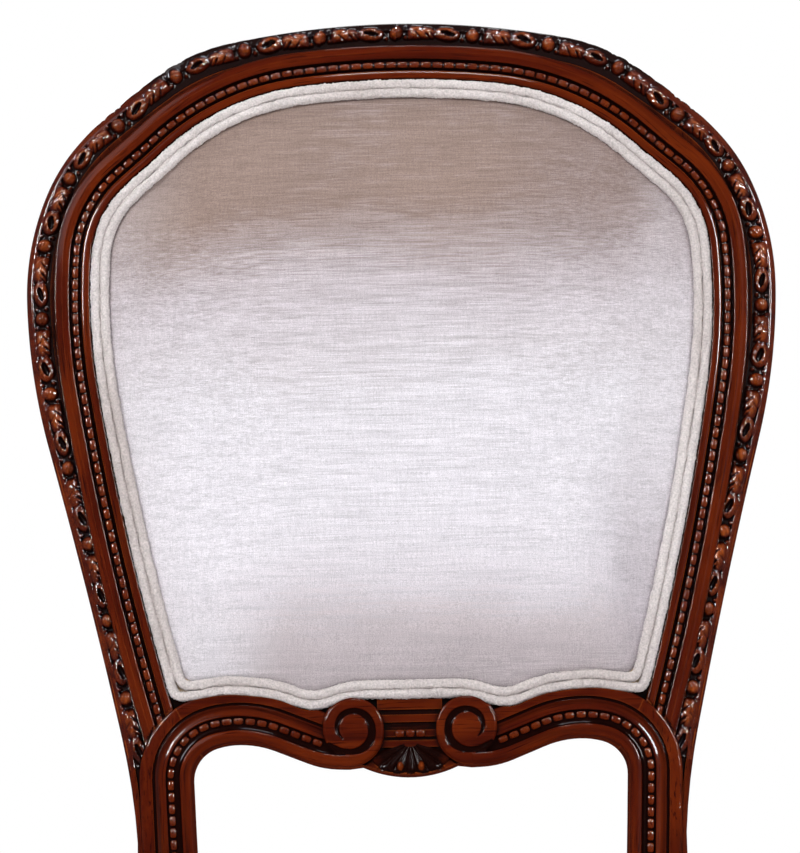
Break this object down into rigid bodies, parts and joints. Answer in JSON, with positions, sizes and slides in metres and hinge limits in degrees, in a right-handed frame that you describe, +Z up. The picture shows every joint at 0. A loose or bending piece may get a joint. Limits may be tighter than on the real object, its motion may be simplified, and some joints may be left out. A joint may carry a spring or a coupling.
{
  "type": "baroque dining chair",
  "caption": "Upholstered dining chair with a carved serpentine show-wood back, scrolled lower rail, padded velvet back and seat edged in double welt, and cabriole front legs.",
  "frame": {"origin": "centre of the bounding box in plan, at floor level", "axes": "+Z up, the front of the chair faces -Y, +X to the right of someone looking at the front"},
  "size_m": [0.4922, 0.5658, 1.0287],
  "materials": {
    "mahogany": "glossy lacquer over dark glaze",
    "beech": "bare",
    "plywood": "bare",
    "velvet": "short pile with slubs",
    "piping": "short pile",
    "stuffing": "open-cell foam and wadding",
    "jute": "woven",
    "dust_cloth": "matt non-woven",
    "steel": "zinc plated",
    "nylon": "moulded"
  },
  "bodies": {
    "root": {"back_board": "plywood", "back_cover": "velvet", "back_double_welt": "piping", "back_foam": "stuffing", "back_wadding": "stuffing", "crest_rail": "mahogany", "dust_cover": "dust_cloth", "front_left_corner_block": "beech", "front_left_glide": "nylon", "front_left_leg": "mahogany", "front_left_screw": "steel", "front_right_corner_block": "beech", "front_right_glide": "nylon", "front_right_leg": "mahogany", "front_right_screw": "steel", "front_seat_rail": "mahogany", "left_back_post": "mahogany", "left_inner_dowel": "beech", "left_outer_dowel": "beech", "left_seat_rail": "mahogany", "lower_back_rail": "mahogany", "outside_back_cover": "velvet", "outside_back_panel": "plywood", "outside_back_welt": "piping", "rear_left_corner_block": "beech", "rear_left_glide": "nylon", "rear_left_screw": "steel", "rear_right_corner_block": "beech", "rear_right_glide": "nylon", "rear_right_screw": "steel", "rear_seat_rail": "mahogany", "right_back_post": "mahogany", "right_inner_dowel": "beech", "right_outer_dowel": "beech", "right_seat_rail": "mahogany", "seat_cover": "velvet", "seat_double_welt": "piping", "seat_foam": "stuffing", "seat_hessian": "jute", "strap_across_1": "jute", "strap_across_2": "jute", "strap_across_3": "jute", "strap_across_4": "jute", "strap_along_1": "jute", "strap_along_2": "jute", "strap_along_3": "jute", "strap_along_4": "jute"}
  },
  "joints": []
}
